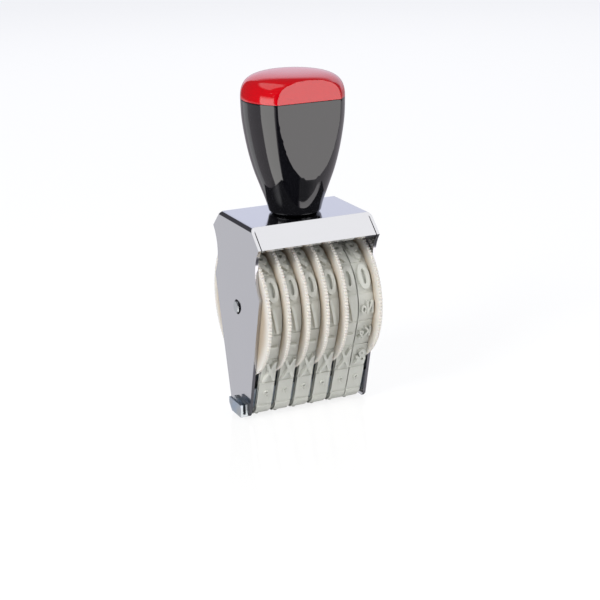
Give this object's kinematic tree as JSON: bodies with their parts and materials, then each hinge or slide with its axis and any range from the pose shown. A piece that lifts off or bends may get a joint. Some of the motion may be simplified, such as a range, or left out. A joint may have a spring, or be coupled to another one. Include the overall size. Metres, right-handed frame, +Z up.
{
  "type": "rotary numbering stamp",
  "caption": "Hand stamp with rubber number bands turned by toothed wheels in a bent steel frame, under a black grip with a red cap.",
  "frame": {"origin": "centre of the base, on the plane that the raised type of the bands stands on", "axes": "+X along the wheels' axle, -Y towards the front, +Z up through the handle"},
  "size_m": [0.0484, 0.046, 0.1139],
  "materials": {
    "chromed_steel": "bright chrome plate on bent sheet",
    "axle_steel": "bright drawn rod",
    "zinc_plate": "bluish zinc plate",
    "brass_insert": "turned",
    "ivory_wheel": "moulded, satin",
    "grey_rubber": "moulded type rubber",
    "black_grip": "polished",
    "red_cap": "polished"
  },
  "bodies": {
    "stamp_body": {"frame": "chromed_steel", "axle": "axle_steel", "foot_bridge": "zinc_plate", "handle_grip": "black_grip", "handle_cap": "red_cap", "handle_screw": "zinc_plate", "handle_washer": "zinc_plate", "handle_insert": "brass_insert", "number_band_1": "grey_rubber", "number_band_2": "grey_rubber", "number_band_3": "grey_rubber", "number_band_4": "grey_rubber", "number_band_5": "grey_rubber", "number_band_6": "grey_rubber"},
    "wheel_1": {"number_wheel_1": "ivory_wheel"},
    "wheel_2": {"number_wheel_2": "ivory_wheel"},
    "wheel_3": {"number_wheel_3": "ivory_wheel"},
    "wheel_4": {"number_wheel_4": "ivory_wheel"},
    "wheel_5": {"number_wheel_5": "ivory_wheel"},
    "wheel_6": {"number_wheel_6": "ivory_wheel"}
  },
  "joints": [
    {"name": "wheel_1_turn", "type": "hinge", "parent": "stamp_body", "child": "wheel_1", "pos_m": [0, 0, 0.0377], "axis": [1, 0, 0], "continuous": true},
    {"name": "wheel_2_turn", "type": "hinge", "parent": "stamp_body", "child": "wheel_2", "pos_m": [0, 0, 0.0377], "axis": [1, 0, 0], "continuous": true},
    {"name": "wheel_3_turn", "type": "hinge", "parent": "stamp_body", "child": "wheel_3", "pos_m": [0, 0, 0.0377], "axis": [1, 0, 0], "continuous": true},
    {"name": "wheel_4_turn", "type": "hinge", "parent": "stamp_body", "child": "wheel_4", "pos_m": [0, 0, 0.0377], "axis": [1, 0, 0], "continuous": true},
    {"name": "wheel_5_turn", "type": "hinge", "parent": "stamp_body", "child": "wheel_5", "pos_m": [0, 0, 0.0377], "axis": [1, 0, 0], "continuous": true},
    {"name": "wheel_6_turn", "type": "hinge", "parent": "stamp_body", "child": "wheel_6", "pos_m": [0, 0, 0.0377], "axis": [1, 0, 0], "continuous": true}
  ]
}
